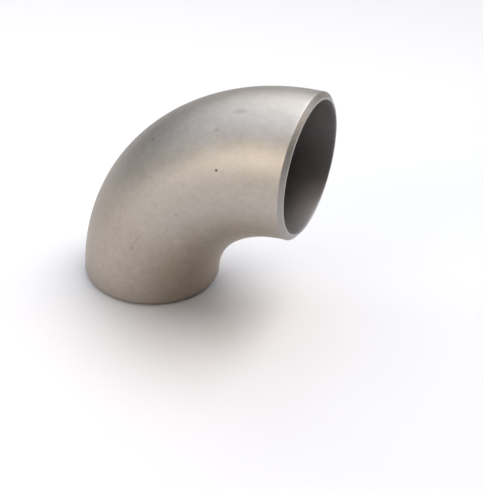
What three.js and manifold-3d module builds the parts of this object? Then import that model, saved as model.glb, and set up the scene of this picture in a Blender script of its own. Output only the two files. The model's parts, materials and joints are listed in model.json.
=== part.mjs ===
// Seamless 90 degree long-radius pipe elbow, DN 40 (NPS 1 1/2), with both ends prepared for butt welding.
//
// The elbow is one bent tube. Its lower port faces down and its upper port faces +X. Each port is cut flat
// across the tube and bevelled from outside, which leaves a narrow flat land around the bore.
//
// Units are millimetres and +Z is up. The origin is the middle of the bounding box, on the base plane.

import * as THREE from "three";
import { mergeVertices, toCreasedNormals } from "three/addons/utils/BufferGeometryUtils.js";
import Module from "manifold-3d";

// Driving dimensions.
const OUTSIDE_DIAMETER = 48.3;
const WALL = 2.3;
const CENTRE_TO_END = 57.15; // also the bend radius: one and a half times the nominal 1 1/2 inches
const LAND = 0.7; // width of the flat root face left at each port
const BEVEL_ANGLE = THREE.MathUtils.degToRad(37.5); // between the bevel and the port's face

// Facets.
const STEPS_AROUND = 64;
const STEPS_ALONG = 24;
const WELD_TOLERANCE = 1e-4; // vertices closer than this are one vertex
const CREASE_ANGLE = THREE.MathUtils.degToRad(25);

// Sizes that follow from the driving dimensions.
const OUTER_RADIUS = OUTSIDE_DIAMETER / 2;
const BORE_RADIUS = OUTER_RADIUS - WALL;
const LAND_RADIUS = BORE_RADIUS + LAND;
const LENGTH = OUTER_RADIUS + CENTRE_TO_END; // along X, from the back of the bend to the upper port
const LOWER_AXIS_X = OUTER_RADIUS - LENGTH / 2;
const LOWER_PORT = new THREE.Vector3(LOWER_AXIS_X, 0, 0);
const UPPER_PORT = new THREE.Vector3(LOWER_AXIS_X + CENTRE_TO_END, 0, CENTRE_TO_END);

// The bevel cutter reaches past the tube by these amounts, so that it cuts cleanly.
const CUTTER_BELOW_FACE = 0.5;
const CUTTER_OUTSIDE_TUBE = 1;

const wasm = await Module();
wasm.setup();

// The tube's centreline: a quarter circle from the lower port to the upper port.
class Bend extends THREE.Curve {
  getPoint(t, target = new THREE.Vector3()) {
    const turned = (t * Math.PI) / 2;
    const x = CENTRE_TO_END * (1 - Math.cos(turned));
    return target.set(x, 0, CENTRE_TO_END * Math.sin(turned)).add(LOWER_PORT);
  }

  getTangent(t, target = new THREE.Vector3()) {
    const turned = (t * Math.PI) / 2;
    return target.set(Math.sin(turned), 0, Math.cos(turned));
  }
}

function solidOf(geometry) {
  const bare = geometry.clone().deleteAttribute("normal").deleteAttribute("uv");
  const welded = mergeVertices(bare, WELD_TOLERANCE);
  const vertProperties = welded.getAttribute("position").array;
  const triVerts = new Uint32Array(welded.index.array);
  return new wasm.Manifold(new wasm.Mesh({ numProp: 3, vertProperties, triVerts }));
}

function geometryOf(solid) {
  const { vertProperties, triVerts } = solid.getMesh();
  const geometry = new THREE.BufferGeometry();
  geometry.setAttribute("position", new THREE.BufferAttribute(vertProperties, 3));
  geometry.setIndex(new THREE.BufferAttribute(triVerts, 1));
  return toCreasedNormals(geometry, CREASE_ANGLE);
}

// A ring of the tube's wall swept along the bend, with a flat end at each port.
function bentTube() {
  const wall = new THREE.Shape().absarc(0, 0, OUTER_RADIUS, 0, 2 * Math.PI);
  wall.holes.push(new THREE.Path().absarc(0, 0, BORE_RADIUS, 0, 2 * Math.PI));
  const curveSegments = STEPS_AROUND / 2; // a full circle gets two points for each of these
  return new THREE.ExtrudeGeometry(wall, { curveSegments, steps: STEPS_ALONG, extrudePath: new Bend() });
}

// The metal that bevelling takes off one port: a ring of three-sided section around the Y axis, with the
// port's face at y = 0 and the tube on the +Y side.
function bevelCutter() {
  const rise = Math.tan(BEVEL_ANGLE);
  const outside = OUTER_RADIUS + CUTTER_OUTSIDE_TUBE;
  const innerCorner = new THREE.Vector2(LAND_RADIUS - CUTTER_BELOW_FACE / rise, -CUTTER_BELOW_FACE);
  const outerCorner = new THREE.Vector2(outside, -CUTTER_BELOW_FACE);
  const topCorner = new THREE.Vector2(outside, (outside - LAND_RADIUS) * rise);
  const section = [innerCorner, outerCorner, topCorner, innerCorner];
  return new THREE.LatheGeometry(section, STEPS_AROUND);
}

function lowerBevel() {
  return bevelCutter().rotateX(Math.PI / 2).translate(...LOWER_PORT);
}

function upperBevel() {
  return bevelCutter().rotateZ(Math.PI / 2).translate(...UPPER_PORT);
}

function elbowBody() {
  const solid = solidOf(bentTube()).subtract(solidOf(lowerBevel())).subtract(solidOf(upperBevel()));
  const pickledStainless = new THREE.MeshStandardMaterial({ color: 0xb3aca1, roughness: 0.5, metalness: 1 });
  const mesh = new THREE.Mesh(geometryOf(solid), pickledStainless);
  mesh.name = "elbow_body";
  return mesh;
}

const elbow = new THREE.Group();
elbow.name = "pipe_elbow";
elbow.add(elbowBody());

export default elbow;
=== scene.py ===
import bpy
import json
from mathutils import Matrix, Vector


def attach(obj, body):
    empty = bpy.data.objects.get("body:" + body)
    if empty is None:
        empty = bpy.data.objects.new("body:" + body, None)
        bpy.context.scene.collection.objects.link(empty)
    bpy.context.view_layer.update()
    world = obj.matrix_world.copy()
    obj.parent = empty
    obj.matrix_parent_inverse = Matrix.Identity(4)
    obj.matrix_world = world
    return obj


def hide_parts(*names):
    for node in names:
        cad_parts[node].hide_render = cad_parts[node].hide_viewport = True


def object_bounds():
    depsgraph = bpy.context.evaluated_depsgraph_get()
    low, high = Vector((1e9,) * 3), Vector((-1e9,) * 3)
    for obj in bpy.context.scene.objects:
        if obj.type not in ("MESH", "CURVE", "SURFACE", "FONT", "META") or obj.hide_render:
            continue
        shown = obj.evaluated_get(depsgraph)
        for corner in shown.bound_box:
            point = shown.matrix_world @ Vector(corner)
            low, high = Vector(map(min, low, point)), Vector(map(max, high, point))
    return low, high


bl_info = {
    "name": "Pipe Elbow",
    "version": (1, 0, 0),
    "blender": (4, 5, 0),
    "location": "View3D > Sidebar > Pipe Elbow",
    "description": "Makes a seamless stainless steel pipe elbow with its floor, lights and camera",
    "category": "Object",
}

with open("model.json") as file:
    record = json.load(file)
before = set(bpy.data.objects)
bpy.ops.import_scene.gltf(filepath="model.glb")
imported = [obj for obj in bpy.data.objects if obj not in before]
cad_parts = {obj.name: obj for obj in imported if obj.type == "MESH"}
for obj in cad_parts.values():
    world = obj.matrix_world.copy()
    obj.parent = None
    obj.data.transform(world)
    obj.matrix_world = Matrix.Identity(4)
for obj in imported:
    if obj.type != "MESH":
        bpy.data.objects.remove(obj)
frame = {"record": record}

import json
import math

import bpy
from mathutils import Quaternion, Vector

MM = 0.001
CAD_NODE = "elbow_body"
BODY = "root"

# Where the elbow is, from the frame: its box, and the middle of each port's land.
CAD_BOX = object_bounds()
BOX_MIDDLE = (CAD_BOX[0] + CAD_BOX[1]) / 2
MOUNTS = {mount["name"]: mount["pos_m"] for mount in frame["record"]["mounts"]}
LOWER_LAND = Vector(MOUNTS["lower_weld_face"])
UPPER_LAND = Vector(MOUNTS["upper_weld_face"])
CENTRE_TO_END = UPPER_LAND.x - LOWER_LAND.x
OUTSIDE_DIAMETER = CAD_BOX[1].y - CAD_BOX[0].y
LAND_WIDTH = 0.7 * MM
BORE_DIAMETER = 2 * LOWER_LAND.y - LAND_WIDTH
WALL = (OUTSIDE_DIAMETER - BORE_DIAMETER) / 2
BEVEL_ANGLE = math.radians(37.5)

# Attributes that the body's tree stores for its materials.
UNBENT = "unbent"  # place on the tube if it were straight: X and Y across it, Z along it from the lower port
FROM_PORT = "from_port"  # distance along the centreline from the nearer port
ZONE = "zone"
SKIN_ZONE, MACHINED_ZONE, BORE_ZONE = range(3)

# Sockets of the Mix node that its own names don't tell apart.
MIX_A, MIX_B, MIX_RESULT = 6, 7, 2


def linear(hex_colour):
    """The linear RGBA of an sRGB colour written as six hex digits."""
    parts = [int(hex_colour[i : i + 2], 16) / 255 for i in (0, 2, 4)]
    return (*(c / 12.92 if c <= 0.04045 else ((c + 0.055) / 1.055) ** 2.4 for c in parts), 1.0)


def per_metre(size_mm):
    """The texture scale whose features are about this many millimetres across."""
    return 1 / (size_mm * MM)


def add_node(tree, kind, inputs=None, **settings):
    """Adds a node: settings are its properties, and each input is a value or another node's output."""
    node = tree.nodes.new(kind)
    for name, value in settings.items():
        setattr(node, name, value)
    for key, value in (inputs or {}).items():
        if isinstance(value, bpy.types.NodeSocket):
            tree.links.new(value, node.inputs[key])
        else:
            node.inputs[key].default_value = value
    return node


# Sizes and colours.


class ElbowSizes(bpy.types.PropertyGroup):
    """Sizes of the fitting, which start from the CAD part."""

    outside_diameter: bpy.props.FloatProperty(
        name="Outside Diameter", description="Diameter of the tube's skin",
        default=OUTSIDE_DIAMETER, precision=4, unit="LENGTH",
    )
    wall: bpy.props.FloatProperty(
        name="Wall", description="Thickness of the tube's wall",
        default=WALL, precision=4, unit="LENGTH",
    )
    centre_to_end: bpy.props.FloatProperty(
        name="Centre to End", description="Bend radius, and distance from each port to the other port's axis",
        default=CENTRE_TO_END, precision=4, unit="LENGTH",
    )
    land: bpy.props.FloatProperty(
        name="Land", description="Width of the flat ring left around the bore at each port",
        default=LAND_WIDTH, precision=4, unit="LENGTH",
    )
    bevel_angle: bpy.props.FloatProperty(
        name="Bevel Angle", description="Angle between the weld bevel and the port's face",
        default=BEVEL_ANGLE, subtype="ANGLE",
    )
    edge_break: bpy.props.FloatProperty(
        name="Edge Break", description="Width of the worn round on each machined edge",
        default=0.12 * MM, precision=5, unit="LENGTH",
    )
    skin_relief: bpy.props.FloatProperty(
        name="Skin Relief", description="How far the hot-formed skin wanders from a true bend",
        default=0.02 * MM, precision=5, unit="LENGTH",
    )
    bore_relief: bpy.props.FloatProperty(
        name="Bore Relief", description="How far the bore wanders from a true bend",
        default=0.05 * MM, precision=5, unit="LENGTH",
    )
    steps_around: bpy.props.IntProperty(name="Steps Around", description="Faces around the tube", default=272)
    steps_along: bpy.props.IntProperty(name="Steps Along", description="Faces along the skin", default=180)


class ElbowColours(bpy.types.PropertyGroup):
    """Colours of the metal's three finishes."""

    skin: bpy.props.FloatVectorProperty(
        name="Skin", description="Blasted and pickled skin",
        subtype="COLOR", size=4, min=0, max=1, default=linear("B4AEA6"),
    )
    machined: bpy.props.FloatVectorProperty(
        name="Machined Ends", description="Turned bevels and lands",
        subtype="COLOR", size=4, min=0, max=1, default=linear("A3A09D"),
    )
    bore: bpy.props.FloatVectorProperty(
        name="Bore", description="Pickled bore",
        subtype="COLOR", size=4, min=0, max=1, default=linear("9F9C9C"),
    )


class StudioSettings(bpy.types.PropertyGroup):
    """The floor, the lights and the camera."""

    floor_size: bpy.props.FloatProperty(
        name="Floor Size", description="Side of the square floor", default=6.0, unit="LENGTH"
    )
    floor_colour: bpy.props.FloatVectorProperty(
        name="Floor", description="Pale floor",
        subtype="COLOR", size=4, min=0, max=1, default=linear("DCDDDF"),
    )
    azimuth: bpy.props.FloatProperty(
        name="Azimuth", description="Direction of the camera, from -Y towards +X",
        default=math.radians(26.3), subtype="ANGLE",
    )
    elevation: bpy.props.FloatProperty(
        name="Elevation", description="Height of the camera above the horizon",
        default=math.radians(30.9), subtype="ANGLE",
    )
    roll: bpy.props.FloatProperty(
        name="Roll", description="Turn of the camera about its view",
        default=math.radians(1.15), subtype="ANGLE",
    )
    distance: bpy.props.FloatProperty(
        name="Distance", description="From the camera to the elbow's middle", default=0.3612, unit="LENGTH"
    )
    focal_length: bpy.props.FloatProperty(
        name="Focal Length", description="Lens, in millimetres", default=78.8
    )
    aim_right: bpy.props.FloatProperty(
        name="Aim Right", description="How far to the right of the elbow the camera aims",
        default=15.65 * MM, precision=4, unit="LENGTH",
    )
    aim_below: bpy.props.FloatProperty(
        name="Aim Below", description="How far below the elbow the camera aims",
        default=21.5 * MM, precision=4, unit="LENGTH",
    )


# Materials. Pattern sizes are in millimetres, and the other numbers are shares of the metal's own tone.

LAND_EDGE = BORE_DIAMETER / 2 + LAND_WIDTH
NOISE_LOW, NOISE_HIGH = 0.3, 0.7  # nearly all of a noise pattern lies between these

SKIN_PATTERNS = {"clouds": 0.16, "mottle": 0.50, "wisps": 0.20, "grain": 0.30}  # how strongly each shows
SKIN_TONE_MIDDLE = 1 + sum(SKIN_PATTERNS.values()) / 2  # the tone where every pattern is at its middle
SKIN_DARK = (0.62, 0.585, 0.54, 1.0)  # a little browner where it is darker
SKIN_PALE = (1.20, 1.22, 1.245, 1.0)
SKIN_ROUGH = (0.485, 0.52)
CLOUD_SIZE = 16
MOTTLE_SIZE = 2.6
WISP_SIZE = 0.9
WISP_STRETCH = (1, 1, 0.35)
GRAIN_SIZE = 0.35  # blast dimples are about 0.1 mm across, and are drawn coarser so that they show
SPECK_SPACING = 2.7
SPECK_REACH = 0.15  # of the spacing, for the largest speck
SPECK_DARKENING = 0.22
SPECK_SHARE_LEFT_OUT = 0.4
WIPED = (16 * MM, 2 * MM)  # painted light: the skin grows lighter between these distances from a port
RUBBED = (2.0 * MM, 1.2 * MM)  # and is rubbed smoother just behind the bevel, with a painted highlight there
PORT_LIGHTENING = 0.03
# Painted shade along the throat and on the lower leg, partly also a brown tint left by the forming heat.
STAIN_COLOUR = "F3EAE1"
STAIN_SHARE = 0.5
THROAT_STAIN = (-3 * MM, -18 * MM)  # across the unbent tube, from where the painted shade and heat tint start to where they are full
LEG_STAIN = (48 * MM, 22 * MM)  # along it from the lower port
RUST_COLOUR = "544B42"
SKIN_BUMP = (0.02 * MM, 0.7)  # depth and strength
MARK_EDGE, MARK_CORE = 1.6, 0.4  # a mark fades out from its core to its edge, in half lengths

END_DARK = (0.62, 0.59, 0.55, 1.0)
END_PALE = (1.38, 1.40, 1.42, 1.0)
END_ROUGH = (0.44, 0.54)
RING_SPACING = 0.2  # tool rings are about 0.08 mm apart, and are drawn coarser so that they show
END_MOTTLE_SIZE = 1.8
NICK_SIZE = 0.6
NICK_DARKENING = 0.3
LAND_LIGHTENING = 0.06
END_BUMP = (0.015 * MM, 0.5)
# painted highlight along the outer edge of each bevel
RIM_LIGHTENING = 0.12

BORE_DARK = (0.66, 0.64, 0.61, 1.0)
BORE_PALE = (1.34, 1.36, 1.38, 1.0)
BORE_ROUGH = (0.56, 0.66)
LINE_SPACING = 0.9
LINE_STRETCH = (1, 1, 0.05)
BORE_MOTTLE_SIZE = 3
BORE_EDGE = 1.2 * MM  # the bore is lighter from here to the port
BORE_EDGE_LIGHTENING = 0.06
BORE_BUMP = (0.03 * MM, 0.5)


def new_material(name):
    """An empty material's tree, its Principled shader and the material."""
    material = bpy.data.materials.new(name)
    material.use_nodes = True
    tree = material.node_tree
    tree.nodes.clear()
    shader = add_node(tree, "ShaderNodeBsdfPrincipled")
    add_node(tree, "ShaderNodeOutputMaterial", {"Surface": shader.outputs["BSDF"]})
    return material, tree, shader


def summed(tree, start, *parts):
    """A start, plus each part times its weight."""
    for part, weight in parts:
        start = add_node(
            tree, "ShaderNodeMath", {0: part, 1: weight, 2: start}, operation="MULTIPLY_ADD"
        ).outputs[0]
    return start


def tinted(tree, colour, tone, dark, pale):
    """The metal's colour at a tone, between dark and pale shares of it.

    The red of each share is also the tone that it stands at.
    """
    dark_end, pale_end = (tuple(c * share for c, share in zip(colour, shares)) for shares in (dark, pale))
    share = add_node(
        tree, "ShaderNodeMapRange", {"Value": tone, "From Min": dark[0], "From Max": pale[0]}
    ).outputs["Result"]
    mixed = add_node(tree, "ShaderNodeMix", {0: share, MIX_A: dark_end, MIX_B: pale_end}, data_type="RGBA")
    return mixed.outputs[MIX_RESULT]


def roughened(tree, pattern, least, most):
    """A roughness that follows a noise pattern."""
    return add_node(
        tree, "ShaderNodeMapRange",
        {"Value": pattern, "From Min": NOISE_LOW, "From Max": NOISE_HIGH, "To Min": least, "To Max": most},
    ).outputs["Result"]


def finish_metal(tree, shader, colour, rough, height, depth, strength):
    """Gives a metal's shader its colour, its roughness and its fine bumps."""
    bump = add_node(tree, "ShaderNodeBump", {"Height": height, "Distance": depth, "Strength": strength})
    tree.links.new(colour, shader.inputs["Base Color"])
    tree.links.new(rough, shader.inputs["Roughness"])
    tree.links.new(bump.outputs["Normal"], shader.inputs["Normal"])
    shader.inputs["Metallic"].default_value = 1.0


# Handling marks on the skin, in steps of five degrees: degrees round the bend from the lower port, degrees
# round the tube from the outside of the bend, half length along the tube and half width round it in
# millimetres, and how much the mark darkens the metal, or lightens it where negative.
PIT = (70, -70, 0.4, 0.35, 0.4)
MARKS = (
    PIT,
    (75, -25, 1.6, 0.8, 0.15),
    (70, -40, 0.6, 0.5, 0.2),
    (50, -30, 0.5, 0.5, 0.25),
    (50, -95, 0.6, 0.6, 0.15),
    (25, -90, 1.2, 0.8, 0.15),
    (30, -90, 3.0, 0.4, 0.1),
    (40, -115, 1.8, 1.2, -0.1),
)


def on_skin(bend, around):
    """A place on the unbent skin, from degrees round the bend and degrees round the tube."""
    turn = math.radians(around)
    radius = OUTSIDE_DIAMETER / 2
    return (radius * math.cos(turn), radius * math.sin(turn), CENTRE_TO_END * math.radians(bend))


def nearness(tree, unbent, mark):
    """One in the middle of a mark, falling to nothing at its edge."""
    bend, around, half_length, half_width = mark[:4]
    spread = (1 / (half_width * MM), 1 / (half_width * MM), 1 / (half_length * MM))
    off = add_node(tree, "ShaderNodeVectorMath", {0: unbent, 1: on_skin(bend, around)}, operation="SUBTRACT")
    shrunk = add_node(tree, "ShaderNodeVectorMath", {0: off.outputs[0], 1: spread}, operation="MULTIPLY")
    reach = add_node(tree, "ShaderNodeVectorMath", {0: shrunk.outputs[0]}, operation="LENGTH")
    return add_node(
        tree, "ShaderNodeMapRange",
        {"Value": reach.outputs["Value"], "From Min": MARK_EDGE, "From Max": MARK_CORE},
        interpolation_type="SMOOTHSTEP",
    ).outputs["Result"]


def pickled_skin(colour):
    """Type 304 stainless steel, hot formed, shot blasted and pickled.

    The blast leaves a fine dimpled grain that spreads every highlight, and the pickle a dull grey with faint
    mottling, small dark specks and thin wisps along the bend.
    """
    material, tree, shader = new_material("blasted_pickled_stainless")
    place = add_node(tree, "ShaderNodeTexCoord").outputs["Object"]
    unbent = add_node(tree, "ShaderNodeAttribute", attribute_name=UNBENT).outputs["Vector"]
    from_port = add_node(tree, "ShaderNodeAttribute", attribute_name=FROM_PORT).outputs["Fac"]

    clouds = add_node(
        tree, "ShaderNodeTexNoise", {"Vector": place, "Scale": per_metre(CLOUD_SIZE), "Detail": 2.0}
    ).outputs["Fac"]
    mottle = add_node(
        tree, "ShaderNodeTexNoise",
        {
            "Vector": place, "Scale": per_metre(MOTTLE_SIZE),
            "Detail": 4.0, "Roughness": 0.6, "Distortion": 0.6,
        },
    ).outputs["Fac"]
    drawn = add_node(tree, "ShaderNodeVectorMath", {0: unbent, 1: WISP_STRETCH}, operation="MULTIPLY")
    wisps = add_node(
        tree, "ShaderNodeTexNoise",
        {
            "Vector": drawn.outputs[0], "Scale": per_metre(WISP_SIZE),
            "Detail": 3.0, "Roughness": 0.55, "Distortion": 0.4,
        },
    ).outputs["Fac"]
    grain = add_node(
        tree, "ShaderNodeTexNoise", {"Vector": place, "Scale": per_metre(GRAIN_SIZE), "Detail": 2.0}
    ).outputs["Fac"]
    # Each cell of this texture may hold one speck, of a size that its chance decides.
    cells = add_node(tree, "ShaderNodeTexVoronoi", {"Vector": place, "Scale": per_metre(SPECK_SPACING)})
    chance = add_node(tree, "ShaderNodeSeparateColor", {"Color": cells.outputs["Color"]}).outputs["Red"]
    speck_size = add_node(
        tree, "ShaderNodeMapRange",
        {"Value": chance, "From Min": SPECK_SHARE_LEFT_OUT, "To Min": 0.0, "To Max": SPECK_REACH},
    ).outputs["Result"]
    from_speck = cells.outputs["Distance"]
    speck = add_node(
        tree, "ShaderNodeMapRange",
        {"Value": from_speck, "From Min": speck_size, "From Max": 0.0, "To Max": SPECK_DARKENING},
        interpolation_type="SMOOTHSTEP",
    ).outputs["Result"]
    # Painted light: the skin grows lighter towards each port.
    wiped = add_node(
        tree, "ShaderNodeMapRange",
        {"Value": from_port, "From Min": WIPED[0], "From Max": WIPED[1], "To Max": PORT_LIGHTENING},
        interpolation_type="SMOOTHSTEP",
    ).outputs["Result"]
    # Painted highlight just behind the bevel, where the metal is also rubbed smoother.
    rubbed = add_node(
        tree, "ShaderNodeMapRange",
        {"Value": from_port, "From Min": RUBBED[0], "From Max": RUBBED[1], "To Max": PORT_LIGHTENING},
        interpolation_type="SMOOTHSTEP",
    ).outputs["Result"]

    # How light the metal is: one where it is plain, less under a speck or a mark, and more near a port, where
    # painted light and a painted highlight lie.
    patterns = zip((clouds, mottle, wisps, grain), SKIN_PATTERNS.values())
    tone = summed(tree, 1.0, *patterns)
    tone = add_node(tree, "ShaderNodeMath", {0: tone, 1: SKIN_TONE_MIDDLE}, operation="DIVIDE").outputs[0]
    marks = [(nearness(tree, unbent, mark), -mark[4]) for mark in MARKS]
    tone = summed(tree, tone, (speck, -1.0), *marks, (wiped, 1.0), (rubbed, 1.0))
    metal = tinted(tree, colour, tone, SKIN_DARK, SKIN_PALE)

    # Painted shade: a brown tint darkens the throat and the lower leg, and stands partly for a tint left by
    # the forming heat.
    axes = add_node(tree, "ShaderNodeSeparateXYZ", {0: unbent})
    throat = add_node(
        tree, "ShaderNodeMapRange",
        {
            "Value": axes.outputs["X"],
            "From Min": THROAT_STAIN[0], "From Max": THROAT_STAIN[1], "To Max": STAIN_SHARE,
        },
        interpolation_type="SMOOTHSTEP",
    ).outputs["Result"]
    lower_leg = add_node(
        tree, "ShaderNodeMapRange",
        {
            "Value": axes.outputs["Z"],
            "From Min": LEG_STAIN[0], "From Max": LEG_STAIN[1], "To Max": STAIN_SHARE,
        },
        interpolation_type="SMOOTHSTEP",
    ).outputs["Result"]
    stain = add_node(tree, "ShaderNodeMath", {0: throat, 1: lower_leg}, operation="ADD").outputs[0]
    stained = add_node(
        tree, "ShaderNodeMix", {0: stain, MIX_A: metal, MIX_B: linear(STAIN_COLOUR)},
        data_type="RGBA", blend_type="MULTIPLY",
    ).outputs[MIX_RESULT]
    pit = nearness(tree, unbent, PIT)
    rusted = add_node(
        tree, "ShaderNodeMix", {0: pit, MIX_A: stained, MIX_B: linear(RUST_COLOUR)}, data_type="RGBA"
    ).outputs[MIX_RESULT]

    rough = summed(tree, roughened(tree, mottle, *SKIN_ROUGH), (rubbed, -1.5))
    height = summed(tree, grain, (mottle, 0.2), (speck, -2.0), (pit, -3.0))
    finish_metal(tree, shader, rusted, rough, height, *SKIN_BUMP)
    return material


def turned_end(colour):
    """Type 304 stainless steel turned on a lathe, then pickled.

    The tool leaves fine rings round the port, and the pickle dulls them to a satin grey. The land is rubbed
    brighter than the bevel.
    """
    material, tree, shader = new_material("turned_stainless")
    place = add_node(tree, "ShaderNodeTexCoord").outputs["Object"]
    unbent = add_node(tree, "ShaderNodeAttribute", attribute_name=UNBENT).outputs["Vector"]
    across = add_node(tree, "ShaderNodeVectorMath", {0: unbent, 1: (1, 1, 0)}, operation="MULTIPLY")
    length = add_node(tree, "ShaderNodeVectorMath", {0: across.outputs[0]}, operation="LENGTH")
    radius = length.outputs["Value"]
    rings = add_node(
        tree, "ShaderNodeTexNoise", {"W": radius, "Scale": per_metre(RING_SPACING), "Detail": 2.0},
        noise_dimensions="1D",
    ).outputs["Fac"]
    mottle = add_node(
        tree, "ShaderNodeTexNoise",
        {"Vector": place, "Scale": per_metre(END_MOTTLE_SIZE), "Detail": 4.0, "Roughness": 0.6},
    ).outputs["Fac"]
    dents = add_node(
        tree, "ShaderNodeTexNoise", {"Vector": place, "Scale": per_metre(NICK_SIZE), "Detail": 2.0}
    ).outputs["Fac"]
    # Only the tops of the dents' pattern count, so the nicks are few.
    nick = add_node(
        tree, "ShaderNodeMapRange",
        {"Value": dents, "From Min": 0.66, "From Max": 0.74, "To Max": NICK_DARKENING},
    ).outputs["Result"]
    land_end = LAND_EDGE + 0.25 * MM
    land = add_node(
        tree, "ShaderNodeMapRange",
        {"Value": radius, "From Min": land_end, "From Max": LAND_EDGE, "To Max": LAND_LIGHTENING},
        interpolation_type="SMOOTHSTEP",
    ).outputs["Result"]
    # Painted highlight: the bevel is lighter in a thin band along its outer edge.
    skin_edge = OUTSIDE_DIAMETER / 2
    rim = add_node(
        tree, "ShaderNodeMapRange",
        {"Value": radius, "From Min": skin_edge - 0.3 * MM, "From Max": skin_edge, "To Max": RIM_LIGHTENING},
        interpolation_type="SMOOTHSTEP",
    ).outputs["Result"]

    tone = summed(tree, 0.82, (mottle, 0.24), (rings, 0.12), (land, 1.0), (rim, 1.0), (nick, -1.0))
    metal = tinted(tree, colour, tone, END_DARK, END_PALE)
    rough = summed(tree, roughened(tree, rings, *END_ROUGH), (land, -0.8))
    height = summed(tree, rings, (nick, -3.0))
    finish_metal(tree, shader, metal, rough, height, *END_BUMP)
    return material


def pickled_bore(colour):
    """Type 304 stainless steel pickled inside the tube, where the blast doesn't reach.

    It is darker than the skin, with faint lines drawn along it by the mandrel and a mottled pickle over them.
    """
    material, tree, shader = new_material("pickled_stainless_bore")
    place = add_node(tree, "ShaderNodeTexCoord").outputs["Object"]
    unbent = add_node(tree, "ShaderNodeAttribute", attribute_name=UNBENT).outputs["Vector"]
    from_port = add_node(tree, "ShaderNodeAttribute", attribute_name=FROM_PORT).outputs["Fac"]
    drawn = add_node(tree, "ShaderNodeVectorMath", {0: unbent, 1: LINE_STRETCH}, operation="MULTIPLY")
    lines = add_node(
        tree, "ShaderNodeTexNoise",
        {"Vector": drawn.outputs[0], "Scale": per_metre(LINE_SPACING), "Detail": 3.0},
    ).outputs["Fac"]
    mottle = add_node(
        tree, "ShaderNodeTexNoise",
        {"Vector": place, "Scale": per_metre(BORE_MOTTLE_SIZE), "Detail": 4.0, "Roughness": 0.6},
    ).outputs["Fac"]
    edge = add_node(
        tree, "ShaderNodeMapRange",
        {"Value": from_port, "From Min": BORE_EDGE, "From Max": 0.0, "To Max": BORE_EDGE_LIGHTENING},
        interpolation_type="SMOOTHSTEP",
    ).outputs["Result"]

    tone = summed(tree, 0.80, (mottle, 0.24), (lines, 0.16), (edge, 1.0))
    metal = tinted(tree, colour, tone, BORE_DARK, BORE_PALE)
    rough = roughened(tree, lines, *BORE_ROUGH)
    height = summed(tree, lines, (mottle, 0.6))
    finish_metal(tree, shader, metal, rough, height, *BORE_BUMP)
    return material


# The body's shape.

RELIEF_START = 2.5 * MM  # the relief begins this far from a port, past the bevel
RELIEF_FULL = 8 * MM  # and reaches its full height here
RELIEF_SIZE = 20 * MM
WELD_DISTANCE = 0.001 * MM
EDGE_BREAK_ANGLE = math.radians(25)  # edges sharper than this are broken
EDGE_BREAK_STEPS = 3


def add_sockets(tree, sockets):
    """Gives a geometry tree its inputs and its one geometry output, and returns its input node."""
    for name, kind in sockets.items():
        tree.interface.new_socket(name, in_out="INPUT", socket_type=kind)
    tree.interface.new_socket("Geometry", in_out="OUTPUT", socket_type="NodeSocketGeometry")
    return add_node(tree, "NodeGroupInput").outputs


ZONE_SOCKETS = {
    "Start Radius": "NodeSocketFloat",
    "End Radius": "NodeSocketFloat",
    "Start Inset": "NodeSocketFloat",
    "End Inset": "NodeSocketFloat",
    "Start Port": "NodeSocketFloat",
    "End Port": "NodeSocketFloat",
    "Bend Radius": "NodeSocketFloat",
    "Lower Axis X": "NodeSocketFloat",
    "Steps Along": "NodeSocketInt",
    "Steps Around": "NodeSocketInt",
    "Relief": "NodeSocketFloat",
    "Relief Size": "NodeSocketFloat",
    "Zone": "NodeSocketInt",
}


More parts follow.
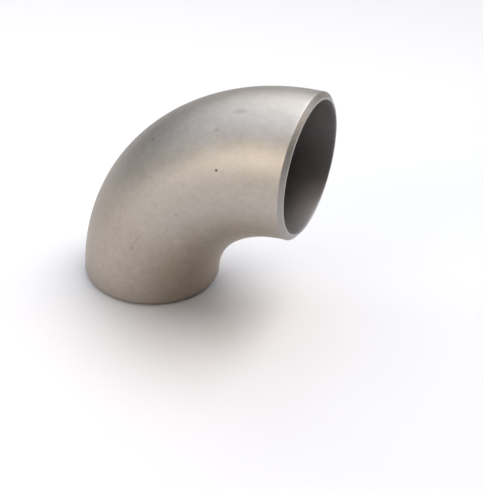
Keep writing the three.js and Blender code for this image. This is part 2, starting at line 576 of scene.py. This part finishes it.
def tube_zone_tree():
    """One stretch of the tube's surface, swept right round the bent axis.

    The stretch runs from one radius to another, and from one port to the same or the other port. A port is
    0 for the lower one or 1 for the upper one, and an inset is the depth below that port's face.
    """
    tree = bpy.data.node_groups.new("Tube Zone", "GeometryNodeTree")
    size = add_sockets(tree, ZONE_SOCKETS)
    columns = add_node(tree, "ShaderNodeMath", {0: size["Steps Along"], 1: 1.0}, operation="ADD")
    rows = add_node(tree, "ShaderNodeMath", {0: size["Steps Around"], 1: 1.0}, operation="ADD")
    grid = add_node(
        tree, "GeometryNodeMeshGrid",
        {"Size X": 1.0, "Size Y": 1.0, "Vertices X": columns.outputs[0], "Vertices Y": rows.outputs[0]},
    )
    corner = add_node(tree, "ShaderNodeVectorMath", {
        0: add_node(tree, "GeometryNodeInputPosition").outputs[0], 1: (0.5, 0.5, 0.0),
    }, operation="ADD")
    share = add_node(tree, "ShaderNodeSeparateXYZ", {0: corner.outputs[0]})
    along = share.outputs["X"]
    around = add_node(
        tree, "ShaderNodeMath", {0: share.outputs["Y"], 1: math.tau}, operation="MULTIPLY"
    ).outputs[0]
    cosine = add_node(tree, "ShaderNodeMath", {0: around}, operation="COSINE").outputs[0]
    sine = add_node(tree, "ShaderNodeMath", {0: around}, operation="SINE").outputs[0]

    radius = add_node(
        tree, "ShaderNodeMapRange",
        {"Value": along, "To Min": size["Start Radius"], "To Max": size["End Radius"]},
    ).outputs["Result"]
    from_bend = add_node(
        tree, "ShaderNodeMath", {0: radius, 1: cosine, 2: size["Bend Radius"]}, operation="MULTIPLY_ADD"
    ).outputs[0]

    turned = []
    for end in ("Start", "End"):
        sunk = add_node(
            tree, "ShaderNodeMath", {0: size[f"{end} Inset"], 1: from_bend}, operation="DIVIDE"
        ).outputs[0]
        angle = add_node(tree, "ShaderNodeMath", {0: sunk}, operation="ARCSINE").outputs[0]
        far = add_node(tree, "ShaderNodeMath", {0: math.pi / 2, 1: angle}, operation="SUBTRACT").outputs[0]
        turned.append(add_node(
            tree, "ShaderNodeMapRange", {"Value": size[f"{end} Port"], "To Min": angle, "To Max": far}
        ).outputs["Result"])
    angle = add_node(
        tree, "ShaderNodeMapRange", {"Value": along, "To Min": turned[0], "To Max": turned[1]}
    ).outputs["Result"]

    rest_angle = add_node(tree, "ShaderNodeMath", {0: math.pi / 2, 1: angle}, operation="SUBTRACT").outputs[0]
    near_angle = add_node(tree, "ShaderNodeMath", {0: angle, 1: rest_angle}, operation="MINIMUM").outputs[0]
    from_port = add_node(
        tree, "ShaderNodeMath", {0: near_angle, 1: size["Bend Radius"]}, operation="MULTIPLY"
    ).outputs[0]
    length = add_node(
        tree, "ShaderNodeMath", {0: angle, 1: size["Bend Radius"]}, operation="MULTIPLY"
    ).outputs[0]
    across_x = add_node(tree, "ShaderNodeMath", {0: radius, 1: cosine}, operation="MULTIPLY").outputs[0]
    across_y = add_node(tree, "ShaderNodeMath", {0: radius, 1: sine}, operation="MULTIPLY").outputs[0]
    unbent = add_node(tree, "ShaderNodeCombineXYZ", {"X": across_x, "Y": across_y, "Z": length}).outputs[0]

    fineness = add_node(
        tree, "ShaderNodeMath", {0: 1.0, 1: size["Relief Size"]}, operation="DIVIDE"
    ).outputs[0]
    waves = add_node(tree, "ShaderNodeTexNoise", {"Vector": unbent, "Scale": fineness, "Detail": 2.0})
    fade = add_node(
        tree, "ShaderNodeMapRange",
        {"Value": from_port, "From Min": RELIEF_START, "From Max": RELIEF_FULL},
        interpolation_type="SMOOTHSTEP",
    )
    centred = add_node(
        tree, "ShaderNodeMapRange", {"Value": waves.outputs["Fac"], "To Min": -2.0, "To Max": 2.0}
    )
    height = add_node(
        tree, "ShaderNodeMath", {0: centred.outputs["Result"], 1: fade.outputs["Result"]},
        operation="MULTIPLY",
    )
    raised = add_node(
        tree, "ShaderNodeMath", {0: height.outputs[0], 1: size["Relief"], 2: radius}, operation="MULTIPLY_ADD"
    ).outputs[0]
    reach = add_node(
        tree, "ShaderNodeMath", {0: raised, 1: cosine, 2: size["Bend Radius"]}, operation="MULTIPLY_ADD"
    ).outputs[0]
    inward = add_node(tree, "ShaderNodeMath", {0: reach, 1: -1.0}, operation="MULTIPLY").outputs[0]
    aside = add_node(tree, "ShaderNodeMath", {0: raised, 1: sine}, operation="MULTIPLY").outputs[0]
    flat = add_node(tree, "ShaderNodeCombineXYZ", {"X": inward, "Y": aside})
    bent = add_node(
        tree, "ShaderNodeVectorRotate",
        {"Vector": flat.outputs[0], "Axis": (0, 1, 0), "Angle": angle}, rotation_type="AXIS_ANGLE",
    )
    bend_x = add_node(
        tree, "ShaderNodeMath", {0: size["Bend Radius"], 1: size["Lower Axis X"]}, operation="ADD"
    ).outputs[0]
    bend_centre = add_node(tree, "ShaderNodeCombineXYZ", {"X": bend_x})
    position = add_node(
        tree, "ShaderNodeVectorMath", {0: bent.outputs[0], 1: bend_centre.outputs[0]}, operation="ADD"
    )

    mesh = grid.outputs["Mesh"]
    for name, kind, domain, value in (
        (UNBENT, "FLOAT_VECTOR", "POINT", unbent),
        (FROM_PORT, "FLOAT", "POINT", from_port),
        (ZONE, "INT", "FACE", size["Zone"]),
    ):
        mesh = add_node(
            tree, "GeometryNodeStoreNamedAttribute", {"Geometry": mesh, "Name": name, "Value": value},
            data_type=kind, domain=domain,
        ).outputs["Geometry"]
    moved = add_node(tree, "GeometryNodeSetPosition", {"Geometry": mesh, "Position": position.outputs[0]})
    add_node(tree, "NodeGroupOutput", {"Geometry": moved.outputs[0]})
    return tree


BODY_SOCKETS = {
    "Outside Diameter": "NodeSocketFloat",
    "Wall": "NodeSocketFloat",
    "Centre to End": "NodeSocketFloat",
    "Lower Axis X": "NodeSocketFloat",
    "Land": "NodeSocketFloat",
    "Bevel Angle": "NodeSocketFloat",
    "Skin Relief": "NodeSocketFloat",
    "Bore Relief": "NodeSocketFloat",
    "Steps Around": "NodeSocketInt",
    "Steps Along": "NodeSocketInt",
    "Skin": "NodeSocketMaterial",
    "Machined Ends": "NodeSocketMaterial",
    "Bore": "NodeSocketMaterial",
}
BEVEL_STEPS = 6
LAND_STEPS = 2
BORE_SHARE = 0.4  # the bore is seen less, so it has fewer faces along it than the skin


def body_tree():
    """The whole elbow: the skin, the bore, and a bevel and a land at each port, welded into one body."""
    tree = bpy.data.node_groups.new("Pipe Elbow Body", "GeometryNodeTree")
    size = add_sockets(tree, BODY_SOCKETS)
    outer = add_node(
        tree, "ShaderNodeMath", {0: size["Outside Diameter"], 1: 0.5}, operation="MULTIPLY"
    ).outputs[0]
    bore = add_node(tree, "ShaderNodeMath", {0: outer, 1: size["Wall"]}, operation="SUBTRACT").outputs[0]
    land = add_node(tree, "ShaderNodeMath", {0: bore, 1: size["Land"]}, operation="ADD").outputs[0]
    bevel_width = add_node(tree, "ShaderNodeMath", {0: outer, 1: land}, operation="SUBTRACT").outputs[0]
    steepness = add_node(tree, "ShaderNodeMath", {0: size["Bevel Angle"]}, operation="TANGENT").outputs[0]
    bevel_depth = add_node(
        tree, "ShaderNodeMath", {0: bevel_width, 1: steepness}, operation="MULTIPLY"
    ).outputs[0]
    bore_steps = add_node(
        tree, "ShaderNodeMath", {0: size["Steps Along"], 1: BORE_SHARE}, operation="MULTIPLY"
    ).outputs[0]

    # Each zone: start radius, end radius, start inset, end inset, start port, end port, steps, relief, zone.
    # Together they run up the skin, over the upper port, back down the bore and over the lower port.
    zones = (
        (outer, outer, bevel_depth, bevel_depth, 0, 1, size["Steps Along"], size["Skin Relief"], SKIN_ZONE),
        (outer, land, bevel_depth, 0, 1, 1, BEVEL_STEPS, 0, MACHINED_ZONE),
        (land, bore, 0, 0, 1, 1, LAND_STEPS, 0, MACHINED_ZONE),
        (bore, bore, 0, 0, 1, 0, bore_steps, size["Bore Relief"], BORE_ZONE),
        (bore, land, 0, 0, 0, 0, LAND_STEPS, 0, MACHINED_ZONE),
        (land, outer, 0, bevel_depth, 0, 0, BEVEL_STEPS, 0, MACHINED_ZONE),
    )
    zone_tree = tube_zone_tree()
    joined = add_node(tree, "GeometryNodeJoinGeometry")
    for radius_1, radius_2, inset_1, inset_2, port_1, port_2, steps, relief, zone in zones:
        made = add_node(tree, "GeometryNodeGroup", node_tree=zone_tree)
        values = {
            "Start Radius": radius_1, "End Radius": radius_2, "Start Inset": inset_1, "End Inset": inset_2,
            "Start Port": port_1, "End Port": port_2, "Steps Along": steps, "Relief": relief, "Zone": zone,
            "Steps Around": size["Steps Around"], "Bend Radius": size["Centre to End"],
            "Lower Axis X": size["Lower Axis X"], "Relief Size": RELIEF_SIZE,
        }
        for name, value in values.items():
            if isinstance(value, bpy.types.NodeSocket):
                tree.links.new(value, made.inputs[name])
            else:
                made.inputs[name].default_value = value
        tree.links.new(made.outputs[0], joined.inputs[0])

    welded = add_node(
        tree, "GeometryNodeMergeByDistance", {"Geometry": joined.outputs[0], "Distance": WELD_DISTANCE}
    )
    smooth = add_node(tree, "GeometryNodeSetShadeSmooth", {"Geometry": welded.outputs[0]})
    shape = add_node(tree, "GeometryNodeRealizeInstances", {"Geometry": smooth.outputs[0]}).outputs[0]
    shape = add_node(
        tree, "GeometryNodeSetMaterial", {"Geometry": shape, "Material": size["Skin"]}
    ).outputs[0]
    zone = add_node(tree, "GeometryNodeInputNamedAttribute", {"Name": ZONE}, data_type="INT").outputs[0]
    for number, name in ((MACHINED_ZONE, "Machined Ends"), (BORE_ZONE, "Bore")):
        chosen = add_node(
            tree, "FunctionNodeCompare", {2: zone, 3: number}, data_type="INT", operation="EQUAL"
        ).outputs[0]
        shape = add_node(
            tree, "GeometryNodeSetMaterial", {"Geometry": shape, "Selection": chosen, "Material": size[name]}
        ).outputs[0]
    add_node(tree, "NodeGroupOutput", {"Geometry": shape})
    return tree


def drop_empty_slots(mesh):
    """Removes the slots with no material. Geometry Nodes leaves one before its own."""
    for index in reversed([i for i, material in enumerate(mesh.materials) if material is None]):
        mesh.materials.pop(index=index)


def shaped_by(name, tree, values, finish=None):
    """A plain mesh object of what a geometry tree makes from these input values."""
    holder = bpy.data.objects.new(name, bpy.data.meshes.new(name))
    bpy.context.scene.collection.objects.link(holder)
    modifier = holder.modifiers.new("Shape", "NODES")
    modifier.node_group = tree
    for item in tree.interface.items_tree:
        if item.in_out == "INPUT":
            modifier[item.identifier] = values[item.name]
    if finish:
        finish(holder)
    graph = bpy.context.evaluated_depsgraph_get()
    mesh = bpy.data.meshes.new_from_object(
        holder.evaluated_get(graph), preserve_all_data_layers=True, depsgraph=graph
    )
    holder.modifiers.clear()
    empty = holder.data
    holder.data = mesh
    bpy.data.meshes.remove(empty)
    mesh.name = name
    drop_empty_slots(mesh)
    return holder


class ELBOW_OT_add_body(bpy.types.Operator):
    """Make the bent tube with its bevelled ends"""

    bl_idname = "elbow.add_body"
    bl_label = "Elbow Body"

    def execute(self, context):
        sizes = context.scene.elbow_sizes
        colours = context.scene.elbow_colours
        values = {
            "Outside Diameter": sizes.outside_diameter,
            "Wall": sizes.wall,
            "Centre to End": sizes.centre_to_end,
            "Lower Axis X": LOWER_LAND.x,
            "Land": sizes.land,
            "Bevel Angle": sizes.bevel_angle,
            "Skin Relief": sizes.skin_relief,
            "Bore Relief": sizes.bore_relief,
            "Steps Around": sizes.steps_around,
            "Steps Along": sizes.steps_along,
            "Skin": pickled_skin(tuple(colours.skin)),
            "Machined Ends": turned_end(tuple(colours.machined)),
            "Bore": pickled_bore(tuple(colours.bore)),
        }

        def break_edges(holder):
            rounding = holder.modifiers.new("Edge Break", "BEVEL")
            rounding.width = sizes.edge_break
            rounding.segments = EDGE_BREAK_STEPS
            rounding.limit_method = "ANGLE"
            rounding.angle_limit = EDGE_BREAK_ANGLE

        body = shaped_by("pipe_elbow_body", body_tree(), values, break_edges)
        if not body.data.polygons:
            raise RuntimeError("the elbow's tree made no faces")
        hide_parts(CAD_NODE)
        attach(body, BODY)
        return {"FINISHED"}


# The stage.


def add_floor(settings):
    half = settings.floor_size / 2
    mesh = bpy.data.meshes.new("floor")
    corners = [(-half, -half, 0), (half, -half, 0), (half, half, 0), (-half, half, 0)]
    mesh.from_pydata(corners, [], [(0, 1, 2, 3)])
    material, tree, shader = new_material("white_card")
    shader.inputs["Base Color"].default_value = settings.floor_colour
    shader.inputs["Roughness"].default_value = 0.9
    mesh.materials.append(material)
    floor = bpy.data.objects.new("floor", mesh)
    bpy.context.scene.collection.objects.link(floor)
    return floor


def direction(azimuth, elevation):
    """The way from the elbow to something at this azimuth, from -Y towards +X, and this elevation."""
    return Vector((
        math.sin(azimuth) * math.cos(elevation),
        -math.cos(azimuth) * math.cos(elevation),
        math.sin(elevation),
    ))


# The lamps' colours.
WARM_WHITE = "FFEEDC"
WHITE = "FFFCF6"
COOL_WHITE = "EBF2FF"
SKYLIGHT = "D6E8FF"

# Light from each large, far diffuser: name, azimuth, elevation and width in degrees, strength and colour.
FAR_LIGHTS = (
    ("key_wall", 120, 65, 45, 2.0, WARM_WHITE),
    ("back_wall", 180, 65, 45, 0.9, SKYLIGHT),
    ("left_wall", -60, 65, 45, 0.6, COOL_WHITE),
    ("low_back_wall", -150, 40, 35, 0.5, WHITE),
    ("low_front_wall", -35, 10, 30, 0.5, WHITE),
    ("low_right_wall", 125, 10, 30, 0.5, WARM_WHITE),
)
# Each softbox near the elbow: name, azimuth and elevation in degrees, distance, size, power in watts and
# colour.
SOFTBOXES = (
    ("left_softbox", -110, 50, 0.35, 0.25, 0.3, COOL_WHITE),
    ("back_softbox", 140, 50, 0.35, 0.25, 0.4, SKYLIGHT),
    ("front_warm_softbox", -20, 30, 0.50, 0.20, 0.6, WARM_WHITE),
    ("front_cool_softbox", -70, 30, 0.50, 0.20, 0.2, COOL_WHITE),
)


def add_light(name, kind, azimuth, elevation, distance, energy, colour):
    """A lamp that looks at the elbow's middle and doesn't show itself."""
    data = bpy.data.lights.new(name, kind)
    data.energy = energy
    data.color = linear(colour)[:3]
    light = bpy.data.objects.new(name, data)
    away = direction(math.radians(azimuth), math.radians(elevation))
    light.location = BOX_MIDDLE + distance * away
    light.rotation_mode = "QUATERNION"
    light.rotation_quaternion = (-away).to_track_quat("-Z", "Y")
    light.visible_camera = False
    bpy.context.scene.collection.objects.link(light)
    return data


def add_lights():
    for name, azimuth, elevation, width, strength, colour in FAR_LIGHTS:
        lamp = add_light(name, "SUN", azimuth, elevation, 1.0, strength, colour)
        lamp.angle = math.radians(width)
    for name, azimuth, elevation, distance, size, power, colour in SOFTBOXES:
        lamp = add_light(name, "AREA", azimuth, elevation, distance, power, colour)
        lamp.size = size


def add_world():
    """A pale backdrop that gives no light, so that only the soft lights and the floor show in the metal."""
    world = bpy.data.worlds.new("studio")
    world.use_nodes = True
    tree = world.node_tree
    background = tree.nodes["Background"]
    background.inputs["Color"].default_value = linear("E9E8E6")
    seen = add_node(tree, "ShaderNodeLightPath").outputs["Is Camera Ray"]
    tree.links.new(seen, background.inputs["Strength"])
    bpy.context.scene.world = world


def add_camera(settings):
    data = bpy.data.cameras.new("camera")
    data.sensor_width = 36
    data.lens = settings.focal_length
    camera = bpy.data.objects.new("camera", data)
    away = direction(settings.azimuth, settings.elevation)
    level = (-away).to_track_quat("-Z", "Y")
    rolled = level @ Quaternion((0, 0, 1), settings.roll)
    aim = Vector((settings.aim_right, -settings.aim_below, -settings.distance))
    camera.rotation_mode = "QUATERNION"
    camera.rotation_quaternion = rolled @ Vector((0, 0, -1)).rotation_difference(aim)
    camera.location = BOX_MIDDLE + settings.distance * away
    bpy.context.scene.collection.objects.link(camera)
    bpy.context.scene.camera = camera


class ELBOW_OT_add_stage(bpy.types.Operator):
    """Make the pale floor, the soft lights and the camera"""

    bl_idname = "elbow.add_stage"
    bl_label = "Floor, Lights and Camera"

    def execute(self, context):
        settings = context.scene.elbow_studio
        add_floor(settings)
        add_lights()
        add_world()
        add_camera(settings)
        context.scene.view_settings.view_transform = "Standard"
        return {"FINISHED"}


class ELBOW_PT_panel(bpy.types.Panel):
    """Lists the elbow's sizes, colours and pieces"""

    bl_idname = "ELBOW_PT_panel"
    bl_label = "Pipe Elbow"
    bl_space_type = "VIEW_3D"
    bl_region_type = "UI"
    bl_category = "Pipe Elbow"

    def draw(self, context):
        for group in (context.scene.elbow_sizes, context.scene.elbow_colours, context.scene.elbow_studio):
            box = self.layout.box()
            for name in group.__annotations__:
                box.prop(group, name)
        for operator in OPERATORS:
            self.layout.operator(operator.bl_idname)


GROUPS = {"elbow_sizes": ElbowSizes, "elbow_colours": ElbowColours, "elbow_studio": StudioSettings}
OPERATORS = (ELBOW_OT_add_body, ELBOW_OT_add_stage)
CLASSES = (*GROUPS.values(), *OPERATORS, ELBOW_PT_panel)


def register():
    for made in CLASSES:
        bpy.utils.register_class(made)
    for name, group in GROUPS.items():
        setattr(bpy.types.Scene, name, bpy.props.PointerProperty(type=group))


def unregister():
    for name in GROUPS:
        delattr(bpy.types.Scene, name)
    for made in reversed(CLASSES):
        bpy.utils.unregister_class(made)


def main():
    register()
    bpy.ops.elbow.add_body()
    bpy.ops.elbow.add_stage()


if __name__ == "__main__":
    main()
